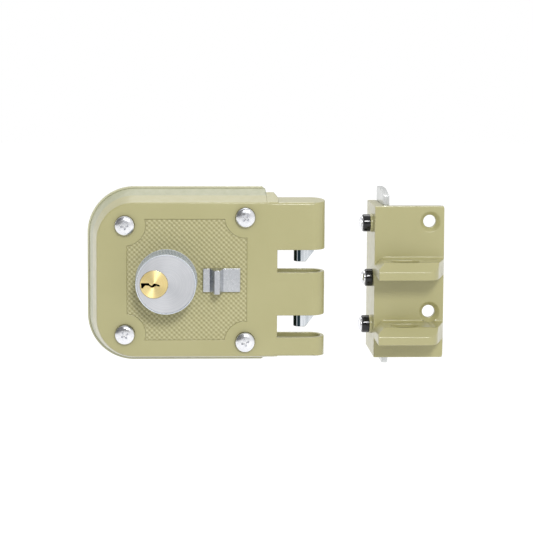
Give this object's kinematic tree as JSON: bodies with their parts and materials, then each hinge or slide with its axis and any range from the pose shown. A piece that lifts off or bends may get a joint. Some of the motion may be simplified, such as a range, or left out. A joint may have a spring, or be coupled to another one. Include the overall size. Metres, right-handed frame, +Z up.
{
  "type": "rim box lock",
  "caption": "Surface-mounted box lock with hollow interlocking fingers, vertical bevelled bolts, a keyed cylinder, a thumb slide and a matching angle strike.",
  "frame": {"origin": "key axis at the door face, where the outside cylinder's tailpiece enters", "axes": "+X from the key axis towards the strike, +Y into the door, +Z up; the front face looks along -Y"},
  "size_m": [0.1661, 0.0575, 0.0841],
  "materials": {
    "painted_zinc": "satin olive-beige paint on die-cast zinc",
    "painted_plate": "satin paint on pressed steel",
    "zinc_plated_steel": "zinc-plated",
    "chrome_screw": "polished chrome plate",
    "satin_chrome": "satin chrome, knurled",
    "satin_chrome_face": "satin chrome, bare face",
    "brass": "machined brass",
    "brass_plug": "polished brass",
    "spring_steel": "blued or oiled steel",
    "cast_zinc": "bare die-cast",
    "bolt_steel": "bright plated steel",
    "satin_nickel": "satin nickel",
    "bright_zinc_plate": "bright zinc-plated",
    "black_plastic": "glossy black"
  },
  "bodies": {
    "case": {"case_body": "painted_zinc", "back_plate": "painted_plate", "back_plate_screws": "zinc_plated_steel", "door_screws": "chrome_screw", "cylinder_collar": "satin_chrome", "cylinder_shell": "satin_chrome_face", "cylinder_nut": "zinc_plated_steel", "chamber_cover": "brass", "driver_pins": "brass", "pin_springs": "spring_steel", "hub_bush": "brass", "guide_studs": "zinc_plated_steel", "hub_spring": "spring_steel", "hub_spring_rivet": "zinc_plated_steel", "slide_spring": "spring_steel", "slide_spring_rivet": "zinc_plated_steel"},
    "bolts": {"bolt_carrier": "cast_zinc", "upper_bolt": "bolt_steel", "lower_bolt": "bolt_steel", "bolt_rivets": "spring_steel"},
    "plug": {"plug": "brass_plug", "key_pins": "brass", "plug_clip": "spring_steel", "tailpiece": "zinc_plated_steel", "tailpiece_pin": "spring_steel"},
    "hub": {"drive_hub": "cast_zinc", "crank_pin": "spring_steel", "crank_roller": "zinc_plated_steel"},
    "slide": {"slide_thumb": "satin_nickel", "slide_bar": "zinc_plated_steel", "slide_screw": "zinc_plated_steel"},
    "strike": {"strike_angle": "painted_zinc", "anchor_plate": "bright_zinc_plate", "strike_bushings": "black_plastic", "strike_screws": "chrome_screw"}
  },
  "joints": [
    {"name": "bolt_throw", "type": "slide", "parent": "case", "child": "bolts", "axis": [0, 0, 1], "range_m": [-0.008, 0.0063]},
    {"name": "key_turn", "type": "hinge", "parent": "case", "child": "plug", "pos_m": [0, 0, 0], "axis": [0, -1, 0], "range_deg": [-43, 34]},
    {"name": "hub_turn", "type": "hinge", "parent": "case", "child": "hub", "pos_m": [0, 0, 0], "axis": [0, -1, 0], "range_deg": [-43, 34]},
    {"name": "slide_throw", "type": "slide", "parent": "case", "child": "slide", "axis": [1, 0, 0], "range_m": [0, 0.005]},
    {"name": "strike_approach", "type": "slide", "parent": "case", "child": "strike", "axis": [1, 0, 0], "range_m": [-0.021, 0.03]}
  ],
  "couplings": [
    {"joint": "key_turn", "follows": "bolt_throw", "rad_per_m": 93.458},
    {"joint": "hub_turn", "follows": "bolt_throw", "rad_per_m": 93.458}
  ]
}
